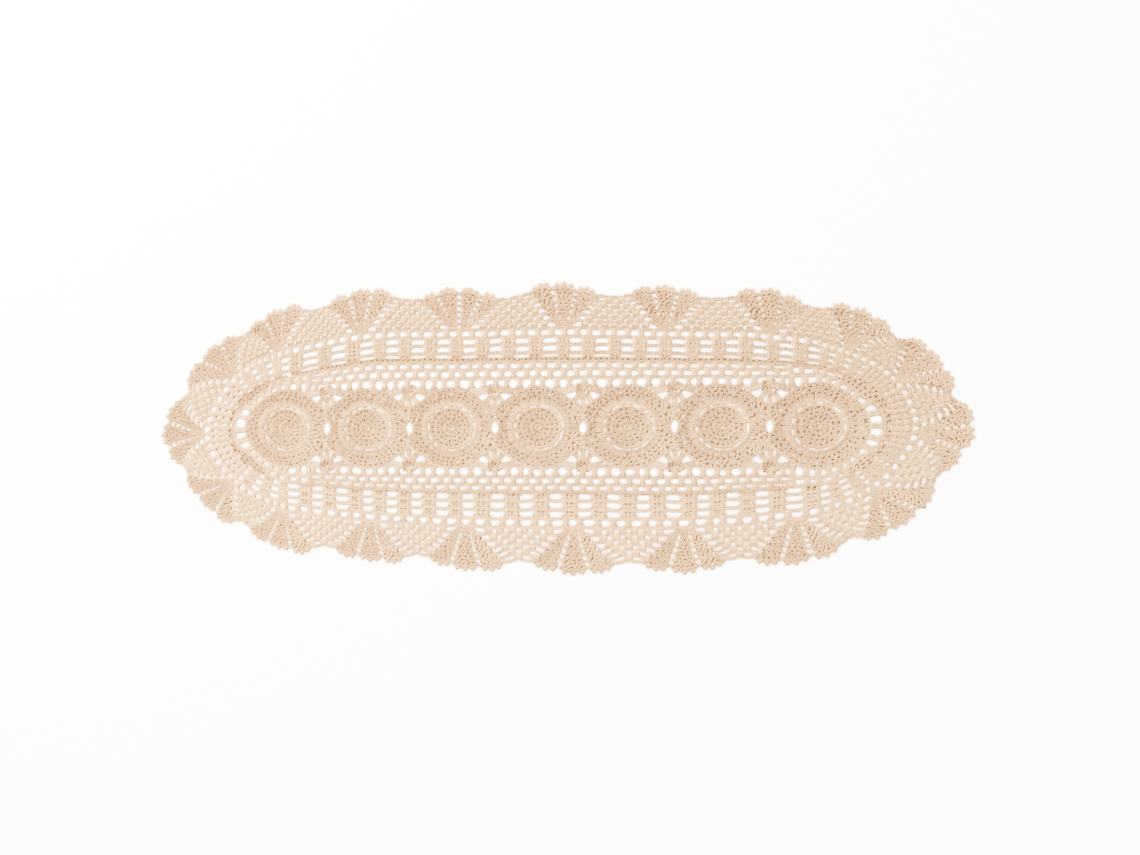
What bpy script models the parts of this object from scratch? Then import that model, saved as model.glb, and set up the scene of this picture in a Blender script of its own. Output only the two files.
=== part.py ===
"""Crochet table runner, lying flat.

Seven round motifs stand in a row along the middle. Twelve small motifs fill the
gaps between them, and one wide border is worked round them all: a net, a round
of blocks, a round of loops, and nineteen fans whose lobes end in small picots.

Units are metres. +X runs along the row of motifs, +Y across it, +Z is up, and
the origin lies under the middle of the fourth motif, on the table.
"""

from collections import namedtuple
from math import cos, hypot, pi, radians, sin, sqrt

import bpy

# Cloth
THICKNESS = 0.0022
SEAM_GAP = 0.0003

# Round motifs, in a row along X
MOTIF_COUNT = 7
MOTIF_PITCH = 0.0983
MOTIF_HALF_HEIGHT = 0.0447
MOTIF_JOINED_REACH = 0.0490
MOTIF_FREE_REACH = 0.0512
MOTIF_ARC_STEPS = 10
JOIN_TOP = 0.0190
JOIN_ROUND = 0.0220
JOIN_HOLE_HALF_HEIGHT = 0.0075
JOIN_HOLE_HALF_WIDTH = 0.0039

# Small motifs between the round ones
HUB_HEIGHT = 0.0395
HUB_RADIUS = 0.0052
WING_REACH = 0.0270
WING_HEIGHTS = (0.0402, 0.0375, 0.0350)
LEG_TIP = (0.0041, 0.0213)
LEG_HALF_WIDTH = 0.0010

# Border: its inner edge and its nominal levels, as distances from the middle line
MIDDLE_LINE_END = 0.2950
INNER_LEVEL = 0.0450
INNER_END_EXTRA = 0.0065
BASE_LEVEL = 0.0735
LOOP_LEVEL = 0.1030
APEX_LEVEL = 0.1580
VALLEY_LEVEL = 0.1405
VALLEY_SHOULDER_LEVEL = 0.1425
INNER_STRAIGHT_STEPS = 10

# Border holes: level of the middle, height, and width as a share of the pitch
HoleRound = namedtuple("HoleRound", "level height width")
NET = HoleRound(level=0.0580, height=0.0145, width=0.70)
BLOCK_ROUNDS = (
    HoleRound(level=0.0860, height=0.0060, width=0.52),
    HoleRound(level=0.0942, height=0.0063, width=0.54),
)
LOOPS = HoleRound(level=LOOP_LEVEL, height=0.0065, width=0.84)
NET_HOLES = 58
LOOPS_PER_HOLE = 2
HOLE_FLAT_SHARE = 0.74

# Gaps between blocks, evenly spread over four stretches of the round, each given
# by the turn where it starts and the number of gaps in it
Stretch = namedtuple("Stretch", "start gaps")
STRETCHES = (
    Stretch(17.6, 16),
    Stretch(50.2, 14),
    Stretch(81.7, 18),
    Stretch(115.3, 14),
)

# Fans, clockwise from the upper left: the tip's place, the levels at which the
# knotted chain and the round of loops really lie below it, the loops that carry
# the fan, and its lobes
Fan = namedtuple("Fan", "x y base loop loops lobes")
FANS = (
    Fan(-0.393, 0.094, 0.060, 0.094, 6, 3),
    Fan(-0.310, 0.137, 0.060, 0.094, 7, 3),
    Fan(-0.205, 0.158, 0.074, 0.103, 8, 3),
    Fan(-0.089, 0.157, 0.075, 0.104, 8, 4),
    Fan(0.029, 0.158, 0.074, 0.103, 8, 3),
    Fan(0.138, 0.151, 0.073, 0.102, 8, 3),
    Fan(0.247, 0.144, 0.070, 0.100, 8, 3),
    Fan(0.341, 0.120, 0.062, 0.092, 7, 3),
    Fan(0.413, 0.070, 0.063, 0.095, 6, 3),
    Fan(0.446, -0.012, 0.062, 0.093, 6, 3),
    Fan(0.381, -0.100, 0.060, 0.090, 6, 3),
    Fan(0.272, -0.144, 0.066, 0.097, 7, 3),
    Fan(0.157, -0.156, 0.072, 0.102, 7, 3),
    Fan(0.038, -0.160, 0.071, 0.102, 7, 3),
    Fan(-0.083, -0.158, 0.072, 0.103, 7, 3),
    Fan(-0.194, -0.150, 0.071, 0.103, 7, 3),
    Fan(-0.304, -0.138, 0.064, 0.097, 7, 3),
    Fan(-0.398, -0.090, 0.060, 0.096, 6, 3),
    Fan(-0.453, -0.007, 0.060, 0.096, 6, 3),
)

# Picots of one fan: place across it, from -1 to 1, level, and the last of a lobe
Picot = namedtuple("Picot", "across level ends_lobe")
PICOTS = {
    3: (
        Picot(-0.703, 0.1450, False),
        Picot(-0.576, 0.1485, False),
        Picot(-0.440, 0.1505, True),
        Picot(-0.132, 0.1543, False),
        Picot(0.000, 0.1550, False),
        Picot(0.132, 0.1543, True),
        Picot(0.440, 0.1505, False),
        Picot(0.576, 0.1485, False),
        Picot(0.703, 0.1450, True),
    ),
    4: (
        Picot(-0.700, 0.1445, False),
        Picot(-0.590, 0.1470, True),
        Picot(-0.380, 0.1510, False),
        Picot(-0.255, 0.1530, False),
        Picot(-0.130, 0.1530, True),
        Picot(0.130, 0.1530, False),
        Picot(0.255, 0.1530, False),
        Picot(0.380, 0.1510, True),
        Picot(0.590, 0.1470, False),
        Picot(0.700, 0.1445, True),
    ),
}
PICOT_BUMP = ((-0.050, 0.0004), (-0.021, 0.0031), (0.021, 0.0031), (0.050, 0.0004))
PICOT_NOTCH = 0.0016
LOBE_NOTCH = 0.0040
VALLEY_SHOULDER = 0.805

TURN_SAMPLES = 16
YARN_COLOUR = (0.84, 0.65, 0.48, 1.0)
YARN_ROUGHNESS = 0.9

TOTAL_LOOPS = sum(fan.loops for fan in FANS)


def fan_turns():
    """Turn, counted in loops, at which each fan's middle stands."""
    turns = []
    start = 0.0
    for fan in FANS:
        turns.append(start + fan.loops / 2)
        start += fan.loops
    return turns


FAN_TURNS = fan_turns()


def at_fans(turn):
    """Tip's place, base level and loop level, on smooth closed curves through the fans."""
    count = len(FANS)
    turn = (turn - FAN_TURNS[0]) % TOTAL_LOOPS + FAN_TURNS[0]
    first = max(k for k in range(count) if FAN_TURNS[k] <= turn)
    places = []
    knots = []
    for k in range(first - 1, first + 3):
        fan = FANS[k % count]
        places.append((fan.x, fan.y, fan.base, fan.loop))
        knots.append(FAN_TURNS[k % count] + TOTAL_LOOPS * (k // count))
    span = knots[2] - knots[1]
    share = (turn - knots[1]) / span
    point = []
    for axis in range(4):
        before, start, end, after = (place[axis] for place in places)
        start_slope = (end - before) / (knots[2] - knots[0]) * span
        end_slope = (after - start) / (knots[3] - knots[1]) * span
        point.append(
            start
            + share * start_slope
            + share**2 * (3 * (end - start) - 2 * start_slope - end_slope)
            + share**3 * (2 * (start - end) + start_slope + end_slope)
        )
    return point


def border_point(turn, level):
    """Point of the border at a turn and a nominal distance from the middle line."""
    tip_x, tip_y, base, loop = at_fans(turn)
    foot_x = max(-MIDDLE_LINE_END, min(MIDDLE_LINE_END, tip_x))
    reach = hypot(tip_x - foot_x, tip_y)
    out_x = (tip_x - foot_x) / reach
    out_y = tip_y / reach
    inner = INNER_LEVEL + INNER_END_EXTRA * out_x**2
    if level < BASE_LEVEL:
        lower, upper, low, high = INNER_LEVEL, BASE_LEVEL, INNER_LEVEL, base
    elif level < LOOP_LEVEL:
        lower, upper, low, high = BASE_LEVEL, LOOP_LEVEL, base, loop
    else:
        lower, upper, low, high = LOOP_LEVEL, APEX_LEVEL, loop, APEX_LEVEL
    real = low + (high - low) * (level - lower) / (upper - lower)
    distance = inner + (reach - inner) * (real - INNER_LEVEL) / (APEX_LEVEL - INNER_LEVEL)
    return (foot_x + out_x * distance, out_y * distance)


def even_turns(level, count):
    """Turns that part a round at one level into equal lengths."""
    steps = TOTAL_LOOPS * TURN_SAMPLES
    points = [border_point(k / TURN_SAMPLES, level) for k in range(steps + 1)]
    lengths = [0.0]
    for here, there in zip(points, points[1:]):
        lengths.append(lengths[-1] + hypot(there[0] - here[0], there[1] - here[1]))
    turns = []
    step = 0
    for k in range(count):
        wanted = lengths[-1] * k / count
        while lengths[step + 1] < wanted:
            step += 1
        share = (wanted - lengths[step]) / (lengths[step + 1] - lengths[step])
        turns.append((step + share) / TURN_SAMPLES)
    return turns


def hole(turn, half_width, level, height):
    """Six-sided hole of a round, wider than it is high."""
    flat = half_width * HOLE_FLAT_SHARE
    corners = (
        (-half_width, 0.0),
        (-flat, 0.5),
        (flat, 0.5),
        (half_width, 0.0),
        (flat, -0.5),
        (-flat, -0.5),
    )
    return [border_point(turn + across, level + height * up) for across, up in corners]


def net_holes():
    """Holes of the net round the motifs, at twice the net's own pitch."""
    turns = even_turns(NET.level, NET_HOLES)
    later = turns[1:] + [TOTAL_LOOPS]
    holes = []
    for start, end in zip(turns, later):
        half_width = (end - start) * NET.width / 2
        holes.append(hole((start + end) / 2, half_width, NET.level, NET.height))
    return holes


def block_holes():
    """Holes between the blocks, two rounds of them."""
    holes = []
    ends = [stretch.start for stretch in STRETCHES[1:]]
    ends.append(STRETCHES[0].start + TOTAL_LOOPS)
    for stretch, end in zip(STRETCHES, ends):
        pitch = (end - stretch.start) / stretch.gaps
        for gap in range(stretch.gaps):
            for ring in BLOCK_ROUNDS:
                turn = stretch.start + gap * pitch
                holes.append(hole(turn, pitch * ring.width / 2, ring.level, ring.height))
    return holes


def loop_holes():
    """Wide loops outside the blocks, two of the real ones to a hole."""
    holes = []
    for k in range(TOTAL_LOOPS // LOOPS_PER_HOLE):
        turn = (k + 0.5) * LOOPS_PER_HOLE
        half_width = LOOPS_PER_HOLE * LOOPS.width / 2
        holes.append(hole(turn, half_width, LOOPS.level, LOOPS.height))
    return holes


def fan_outline(fan, middle):
    """Edge of one fan, from the valley before it to the last lobe's end."""
    half = fan.loops / 2
    picots = PICOTS[fan.lobes]
    points = [
        border_point(middle - half, VALLEY_LEVEL),
        border_point(middle - half * VALLEY_SHOULDER, VALLEY_SHOULDER_LEVEL),
    ]
    for picot, following in zip(picots, picots[1:] + (None,)):
        for across, rise in PICOT_BUMP:
            turn = middle + half * (picot.across + across)
            points.append(border_point(turn, picot.level + rise))
        if following is None:
            continue
        drop = LOBE_NOTCH if picot.ends_lobe else PICOT_NOTCH
        across = (picot.across + following.across) / 2
        level = (picot.level + following.level) / 2 - drop
        points.append(border_point(middle + half * across, level))
    points.append(border_point(middle + half * VALLEY_SHOULDER, VALLEY_SHOULDER_LEVEL))
    return points


def border_outline():
    """The scalloped outer edge, clockwise from the upper left."""
    points = []
    for fan, middle in zip(FANS, FAN_TURNS):
        points += fan_outline(fan, middle)
    return points


def border_inner_edge():
    """Edge that meets the motifs: two straight sides and two round ends."""
    end_steps = 2 * MOTIF_ARC_STEPS
    points = []
    for side in (1, -1):
        for k in range(INNER_STRAIGHT_STEPS):
            share = k / INNER_STRAIGHT_STEPS
            points.append((side * MIDDLE_LINE_END * (2 * share - 1), side * INNER_LEVEL))
        for k in range(end_steps):
            angle = pi / 2 - pi * k / end_steps
            radius = INNER_LEVEL + INNER_END_EXTRA * cos(angle) ** 2
            points.append((
                side * (MIDDLE_LINE_END + radius * cos(angle)),
                side * radius * sin(angle),
            ))
    return points


def ellipse_reach(height, reach):
    """Half width of a motif at a height over its middle."""
    return reach * sqrt(1 - (height / MOTIF_HALF_HEIGHT) ** 2)


def joined_side():
    """Side of a motif that meets its neighbour, from its top down to its foot."""
    top_angle = pi / 2
    points = []
    for k in range(MOTIF_ARC_STEPS):
        angle = top_angle * (1 - k / MOTIF_ARC_STEPS)
        height = MOTIF_HALF_HEIGHT * sin(angle)
        if height > JOIN_ROUND:
            points.append((ellipse_reach(height, MOTIF_JOINED_REACH), height))
    points.append((ellipse_reach(JOIN_ROUND, MOTIF_JOINED_REACH), JOIN_ROUND))
    points.append((MOTIF_JOINED_REACH, JOIN_TOP))
    points.append((MOTIF_JOINED_REACH, JOIN_HOLE_HALF_HEIGHT))
    middle = (MOTIF_JOINED_REACH - JOIN_HOLE_HALF_WIDTH, 0.0)
    lower = [(x, -y) for x, y in reversed(points)]
    return points + [middle] + lower[:-1]


def free_side():
    """Rounded side of the first or the last motif, from its top down to its foot."""
    steps = 2 * MOTIF_ARC_STEPS
    points = []
    for k in range(steps):
        angle = pi / 2 - pi * k / steps
        points.append((MOTIF_FREE_REACH * cos(angle), MOTIF_HALF_HEIGHT * sin(angle)))
    return points


def motif_outline(place):
    """Outline of a round motif; the first and the last one have a free side."""
    centre = MOTIF_PITCH * (place - (MOTIF_COUNT - 1) / 2)
    right = free_side() if place == MOTIF_COUNT - 1 else joined_side()
    left = free_side() if place == 0 else joined_side()
    points = right + [(-x, -y) for x, y in left]
    return [(centre + x, y) for x, y in points]


def beside_motif(height):
    """Distance from the joint of two motifs to the edge of either, less the seam."""
    reach = ellipse_reach(height, MOTIF_JOINED_REACH)
    return MOTIF_PITCH / 2 - reach - 2 * SEAM_GAP


def small_motif_outline(joint, side):
    """Hub with two wings along the border and two legs towards the joint."""
    half = [(WING_REACH, MOTIF_HALF_HEIGHT)]
    half.append((WING_REACH, WING_HEIGHTS[0] + SEAM_GAP))
    for height in WING_HEIGHTS[1:]:
        half.append((beside_motif(height), height))
    for angle in (radians(-20), radians(-50)):
        half.append((HUB_RADIUS * cos(angle), HUB_HEIGHT + HUB_RADIUS * sin(angle)))
    tip_x, tip_y = LEG_TIP
    length = hypot(tip_x, HUB_HEIGHT - tip_y)
    along_x = tip_x / length
    along_y = (tip_y - HUB_HEIGHT) / length
    across_x = -along_y * LEG_HALF_WIDTH
    across_y = along_x * LEG_HALF_WIDTH
    root_x = along_x * HUB_RADIUS
    root_y = HUB_HEIGHT + along_y * HUB_RADIUS
    half.append((root_x + across_x, root_y + across_y))
    half.append((tip_x + across_x, tip_y + across_y))
    half.append((tip_x - across_x, tip_y - across_y))
    half.append((root_x - across_x, root_y - across_y))
    points = half + [(-x, y) for x, y in reversed(half)]
    return [(joint + x, side * y) for x, y in points]


def yarn_material(name):
    """Matt cotton in warm beige."""
    material = bpy.data.materials.new(name)
    material.use_nodes = True
    shader = material.node_tree.nodes["Principled BSDF"]
    shader.inputs["Base Color"].default_value = YARN_COLOUR
    shader.inputs["Roughness"].default_value = YARN_ROUGHNESS
    shader.inputs["Metallic"].default_value = 0.0
    material.diffuse_color = YARN_COLOUR
    return material


def sheet(name, outline, holes, collection):
    """Flat piece of cloth, resting on z = 0, with its holes cut through."""
    curve = bpy.data.curves.new(name, "CURVE")
    curve.dimensions = "2D"
    curve.fill_mode = "BOTH"
    curve.extrude = THICKNESS / 2
    for ring in [outline] + holes:
        spline = curve.splines.new("POLY")
        spline.points.add(len(ring) - 1)
        for point, (x, y) in zip(spline.points, ring):
            point.co = (x, y, 0.0, 1.0)
        spline.use_cyclic_u = True
    curve.materials.append(yarn_material(name + "_cotton"))
    piece = bpy.data.objects.new(name, curve)
    piece.location.z = THICKNESS / 2
    collection.objects.link(piece)
    return piece


def clear_scene():
    """Start from an empty scene."""
    for leftover in list(bpy.data.objects):
        bpy.data.objects.remove(leftover, do_unlink=True)


def main():
    clear_scene()
    collection = bpy.data.collections.new("crochet_table_runner")
    bpy.context.scene.collection.children.link(collection)
    for place in range(MOTIF_COUNT):
        sheet(f"medallion_{place + 1}", motif_outline(place), [], collection)
    for place in range(MOTIF_COUNT - 1):
        joint = MOTIF_PITCH * (place + 1 - MOTIF_COUNT / 2)
        for word, side in (("top", 1), ("bottom", -1)):
            outline = small_motif_outline(joint, side)
            sheet(f"filler_{word}_{place + 1}", outline, [], collection)
    holes = [border_inner_edge()] + net_holes() + block_holes() + loop_holes()
    sheet("border", border_outline(), holes, collection)


main()
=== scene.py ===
"""Looks of a crochet table runner: cotton yarn, worked stitch by stitch, lying flat.

Every stitch is a copy of one of a few small shapes, a post, a link or a knot. The
patterns below say where each stitch starts and ends, round by round, and the
copies of one piece are joined into one mesh.

Units are metres. +X runs along the row of motifs, +Y across it, +Z is up, and
the origin lies under the middle of the fourth motif, on the table.
"""

from collections import namedtuple
from math import atan2, cos, degrees, hypot, pi, radians, sin

import bmesh
import bpy
import numpy as np
from bpy.props import FloatProperty, FloatVectorProperty, PointerProperty
from bpy.types import Operator, Panel, PropertyGroup
from mathutils import Matrix, Vector


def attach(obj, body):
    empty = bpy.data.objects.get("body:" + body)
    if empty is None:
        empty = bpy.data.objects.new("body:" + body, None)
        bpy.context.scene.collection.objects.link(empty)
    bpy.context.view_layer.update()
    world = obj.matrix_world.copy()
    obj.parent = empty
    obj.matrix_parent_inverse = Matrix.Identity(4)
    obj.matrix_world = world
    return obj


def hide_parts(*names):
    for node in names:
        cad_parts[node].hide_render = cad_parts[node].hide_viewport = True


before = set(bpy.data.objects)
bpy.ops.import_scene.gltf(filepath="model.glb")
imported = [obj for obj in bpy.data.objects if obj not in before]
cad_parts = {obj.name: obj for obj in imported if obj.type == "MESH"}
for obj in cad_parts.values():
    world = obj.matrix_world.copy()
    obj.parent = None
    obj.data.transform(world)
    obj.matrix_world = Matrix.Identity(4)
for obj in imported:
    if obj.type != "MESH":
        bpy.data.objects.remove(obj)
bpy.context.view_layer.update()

bl_info = {
    "name": "Crochet Table Runner",
    "version": (1, 0, 0),
    "blender": (4, 5, 0),
    "location": "View3D > Sidebar > Runner",
    "description": "Works a crochet table runner stitch by stitch",
    "category": "Add Mesh",
}

BODY = "root"
SETTINGS_PATH = "table_runner"

# Motifs
MOTIF_COUNT = 7
MOTIF_PITCH = 0.0983
MOTIF_REACH = 0.0490
MOTIF_HALF_HEIGHT = 0.0447

# Border: its inner edge and its nominal levels, as distances from the middle line
MIDDLE_LINE_END = 0.2950
INNER_LEVEL = 0.0450
INNER_END_EXTRA = 0.0065
BASE_LEVEL = 0.0735
LOOP_LEVEL = 0.1030
LOOP_CHAIN_LEVEL = 0.1076
APEX_LEVEL = 0.1580
VALLEY_LEVEL = 0.1405

# Gaps between blocks, evenly spread over four stretches of the round, each given
# by the turn where it starts and the number of gaps in it
Stretch = namedtuple("Stretch", "start gaps")
STRETCHES = (
    Stretch(17.6, 16),
    Stretch(50.2, 14),
    Stretch(81.7, 18),
    Stretch(115.3, 14),
)

# Fans, clockwise from the upper left: the tip's place, the levels at which the
# knotted chain and the round of loops really lie below it, the loops that carry
# the fan, its lobes, and how much further out its first and its last lobe reach
Fan = namedtuple("Fan", "x y base loop loops lobes first last")
FANS = (
    Fan(-0.393, 0.094, 0.060, 0.094, 6, 3, 0.002, -0.003),
    Fan(-0.310, 0.137, 0.060, 0.094, 7, 3, -0.003, 0.001),
    Fan(-0.205, 0.158, 0.074, 0.103, 8, 3, -0.002, 0.0),
    Fan(-0.089, 0.157, 0.075, 0.104, 8, 4, -0.002, -0.004),
    Fan(0.029, 0.158, 0.074, 0.103, 8, 3, 0.001, -0.003),
    Fan(0.138, 0.151, 0.073, 0.102, 8, 3, 0.0, -0.002),
    Fan(0.247, 0.144, 0.070, 0.100, 8, 3, 0.0, -0.003),
    Fan(0.341, 0.120, 0.062, 0.092, 7, 3, 0.0, -0.001),
    Fan(0.413, 0.070, 0.063, 0.095, 6, 3, 0.001, 0.0),
    Fan(0.446, -0.012, 0.062, 0.093, 6, 3, 0.002, -0.003),
    Fan(0.381, -0.100, 0.060, 0.090, 6, 3, 0.0, 0.001),
    Fan(0.272, -0.144, 0.066, 0.097, 7, 3, 0.001, -0.003),
    Fan(0.157, -0.156, 0.072, 0.102, 7, 3, -0.002, -0.002),
    Fan(0.038, -0.160, 0.071, 0.102, 7, 3, 0.0, -0.002),
    Fan(-0.083, -0.158, 0.072, 0.103, 7, 3, 0.001, -0.002),
    Fan(-0.194, -0.150, 0.071, 0.103, 7, 3, 0.001, -0.001),
    Fan(-0.304, -0.138, 0.064, 0.097, 7, 3, 0.001, 0.0),
    Fan(-0.398, -0.090, 0.060, 0.096, 6, 3, 0.002, -0.001),
    Fan(-0.453, -0.007, 0.060, 0.096, 6, 3, -0.003, 0.001),
)
TOTAL_LOOPS = sum(fan.loops for fan in FANS)

# Rim of a fan: turns from its middle, and level there. Past the last of these places
# it falls to the valley.
RIMS = {
    3: ((0.0, 0.1525), (0.57, 0.1508), (0.93, 0.1480), (1.33, 0.1502),
        (1.80, 0.1505), (2.26, 0.1470), (2.55, 0.1440)),
    4: ((0.0, 0.1488), (0.45, 0.1508), (0.92, 0.1522), (1.40, 0.1502), (1.72, 0.1465),
        (2.15, 0.1478), (2.60, 0.1445), (2.90, 0.1415)),
}
PICOTS = {
    3: (-2.26, -1.80, -1.33, -0.57, 0.0, 0.57, 1.33, 1.80, 2.26),
    4: (-2.60, -2.15, -1.35, -0.92, -0.50, 0.50, 0.92, 1.35, 2.15, 2.60),
}
FAN_ROUNDS = 6

# Lobes of a fan: turns from its middle to both edges of each, below and at the rim
Lobe = namedtuple("Lobe", "low_start low_end start end")
LOBES = {
    3: (
        Lobe(-0.42, -0.24, -2.50, -1.06),
        Lobe(-0.12, 0.12, -0.80, 0.80),
        Lobe(0.24, 0.42, 1.06, 2.50),
    ),
    4: (
        Lobe(-0.66, -0.50, -2.85, -1.84),
        Lobe(-0.38, -0.14, -1.60, -0.20),
        Lobe(0.14, 0.38, 0.20, 1.60),
        Lobe(0.50, 0.66, 1.84, 2.85),
    ),
}

# Stitch shapes. A strand's path is given across the stitch, along it, up, and how
# thick the strand is there against its radius. Posts and knots are narrow at the
# foot, so that a row of them leaves a row of small pits.
Strand = namedtuple("Strand", "radius sides path")
Stitch = namedtuple("Stitch", "width length strands")
POST = Stitch(0.0040, 0.0080, (
    Strand(0.00102, 3, (
        (-0.00030, -0.0003, 0.00090, 0.70), (-0.00095, 0.0022, 0.00125, 1.05),
        (-0.00100, 0.0062, 0.00145, 1.10), (-0.00085, 0.0083, 0.00110, 0.85),
    )),
    Strand(0.00102, 3, (
        (0.00030, -0.0003, 0.00100, 0.70), (0.00095, 0.0023, 0.00120, 1.05),
        (0.00100, 0.0061, 0.00145, 1.10), (0.00085, 0.0083, 0.00110, 0.85),
    )),
    Strand(0.00070, 3, (
        (-0.00150, 0.0036, 0.00110, 0.8), (0.0, 0.0045, 0.00205, 1.0),
        (0.00150, 0.0054, 0.00120, 0.8),
    )),
))
LINK = Stitch(0.0033, 0.0036, (
    Strand(0.00096, 3, (
        (-0.00010, -0.0010, 0.00085, 0.7), (-0.00085, 0.0012, 0.00145, 1.0),
        (-0.00045, 0.0036, 0.00105, 0.7),
    )),
    Strand(0.00096, 3, (
        (0.00010, -0.0010, 0.00085, 0.7), (0.00085, 0.0012, 0.00135, 1.0),
        (0.00045, 0.0036, 0.00115, 0.7),
    )),
))
KNOT = Stitch(0.0040, 0.0038, (
    Strand(0.00107, 3, (
        (-0.00060, -0.0003, 0.00105, 0.75), (-0.00100, 0.0018, 0.00145, 1.10),
        (-0.00090, 0.0041, 0.00115, 0.90),
    )),
    Strand(0.00107, 3, (
        (0.00060, -0.0003, 0.00115, 0.75), (0.00100, 0.0019, 0.00135, 1.10),
        (0.00090, 0.0041, 0.00125, 0.90),
    )),
    Strand(0.00075, 3, (
        (-0.00150, 0.0017, 0.00110, 0.8), (0.0, 0.0026, 0.00190, 1.0),
        (0.00150, 0.0019, 0.00110, 0.8),
    )),
))
STITCHES = {"post": POST, "link": LINK, "knot": KNOT}
LINK_LENGTH = LINK.length
# Height of the flat dark strips of painted shade under the stitches, low enough to take the
# shade colour.
SHADE_BACK_HEIGHT = 0.0003


class RunnerYarn(PropertyGroup):
    """Sizes and colours of the yarn."""

    colour: FloatVectorProperty(
        name="Colour", description="Colour of the yarn on top",
        default=(0.95, 0.60, 0.24), size=3, subtype="COLOR", min=0.0, max=1.0,
    )
    # Painted shade: yarn turns to this colour where it lies low between the stitches, and the
    # flat dark strips under the stitches have it too.
    shade_colour: FloatVectorProperty(
        name="Shade Colour", description="Colour of the yarn low between the stitches",
        default=(0.30, 0.150, 0.062), size=3, subtype="COLOR", min=0.0, max=1.0,
    )
    thickness: FloatProperty(
        name="Thickness", description="How thick the yarn is, against its drawn shape",
        default=1.0, min=0.5, max=1.5, subtype="FACTOR",
    )
    unevenness: FloatProperty(
        name="Unevenness", description="How far a stitch may stand off its place",
        default=0.00022, min=0.0, unit="LENGTH", subtype="DISTANCE",
    )
    drift: FloatProperty(
        name="Drift", description="How far whole rows sway",
        default=0.0005, min=0.0, unit="LENGTH", subtype="DISTANCE",
    )


class RunnerStage(PropertyGroup):
    """Camera, floor and lights."""

    lens: FloatProperty(
        name="Lens", description="Focal length on a sensor 36 mm wide",
        default=28.0, min=10.0, subtype="NONE",
    )
    camera_place: FloatVectorProperty(
        name="Camera Place", description="Where the camera stands",
        default=(0.2012, -0.0068, 0.9445), size=3, unit="LENGTH", subtype="TRANSLATION",
    )
    camera_turn: FloatVectorProperty(
        name="Camera Turn", description="How the camera is turned from looking straight down",
        default=(radians(0.36), radians(9.99), radians(-0.22)), size=3,
        unit="ROTATION", subtype="EULER",
    )
    floor_size: FloatProperty(
        name="Floor Size", description="Side of the floor",
        default=8.0, min=1.0, unit="LENGTH", subtype="DISTANCE",
    )
    floor_colour: FloatVectorProperty(
        name="Floor Colour", description="Colour of the plain floor",
        default=(0.93, 0.93, 0.93), size=3, subtype="COLOR", min=0.0, max=1.0,
    )
    floor_glow: FloatProperty(
        name="Floor Glow", description="Light the floor gives off, as a light table does",
        default=9.0, min=0.0,
    )
    light_colour: FloatVectorProperty(
        name="Light Colour", description="Warm white of the studio light",
        default=(1.0, 0.95, 0.86), size=3, subtype="COLOR", min=0.0, max=1.0,
    )
    daylight: FloatProperty(
        name="Daylight", description="Strength of the even light from all round",
        default=1.50, min=0.0,
    )
    window_power: FloatProperty(
        name="Window Power", description="Power of the large soft light, in watts",
        default=244.0, min=0.0,
    )


class RunnerSettings(PropertyGroup):
    """Everything a user would change."""

    yarn: PointerProperty(type=RunnerYarn)
    stage: PointerProperty(type=RunnerStage)


def settings(context):
    """The runner's settings in this scene."""
    return getattr(context.scene, SETTINGS_PATH)


# Border chart


def fan_turns():
    """Turn, counted in loops, at which each fan's middle stands."""
    turns = []
    start = 0.0
    for fan in FANS:
        turns.append(start + fan.loops / 2)
        start += fan.loops
    return turns


FAN_TURNS = fan_turns()


def at_fans(turn):
    """Tip's place, base level and loop level, on smooth closed curves through the fans."""
    count = len(FANS)
    turn = (turn - FAN_TURNS[0]) % TOTAL_LOOPS + FAN_TURNS[0]
    first = max(k for k in range(count) if FAN_TURNS[k] <= turn)
    places = []
    knots = []
    for k in range(first - 1, first + 3):
        fan = FANS[k % count]
        places.append((fan.x, fan.y, fan.base, fan.loop))
        knots.append(FAN_TURNS[k % count] + TOTAL_LOOPS * (k // count))
    span = knots[2] - knots[1]
    share = (turn - knots[1]) / span
    point = []
    for axis in range(4):
        before, start, end, after = (place[axis] for place in places)
        start_slope = (end - before) / (knots[2] - knots[0]) * span
        end_slope = (after - start) / (knots[3] - knots[1]) * span
        point.append(
            start
            + share * start_slope
            + share**2 * (3 * (end - start) - 2 * start_slope - end_slope)
            + share**3 * (2 * (start - end) + start_slope + end_slope)
        )
    return point


def ray(turn):
    """Foot on the middle line, direction outwards and reach of the border at a turn."""
    tip_x, tip_y = at_fans(turn)[:2]
    foot_x = max(-MIDDLE_LINE_END, min(MIDDLE_LINE_END, tip_x))
    reach = hypot(tip_x - foot_x, tip_y)
    return foot_x, (tip_x - foot_x) / reach, tip_y / reach, reach


def ray_point(turn, distance):
    """Point of the border at a turn and a real distance from the middle line."""
    foot_x, out_x, out_y, _ = ray(turn)
    return (foot_x + out_x * distance, out_y * distance)


def border_point(turn, level):
    """Point of the border at a turn and a nominal distance from the middle line."""
    base, loop = at_fans(turn)[2:]
    foot_x, out_x, out_y, reach = ray(turn)
    inner = INNER_LEVEL + INNER_END_EXTRA * out_x**2
    if level < BASE_LEVEL:
        lower, upper, low, high = INNER_LEVEL, BASE_LEVEL, INNER_LEVEL, base
    elif level < LOOP_LEVEL:
        lower, upper, low, high = BASE_LEVEL, LOOP_LEVEL, base, loop
    else:
        lower, upper, low, high = LOOP_LEVEL, APEX_LEVEL, loop, APEX_LEVEL
    real = low + (high - low) * (level - lower) / (upper - lower)
    distance = inner + (reach - inner) * (real - INNER_LEVEL) / (APEX_LEVEL - INNER_LEVEL)
    return (foot_x + out_x * distance, out_y * distance)


# Stitches


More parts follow.
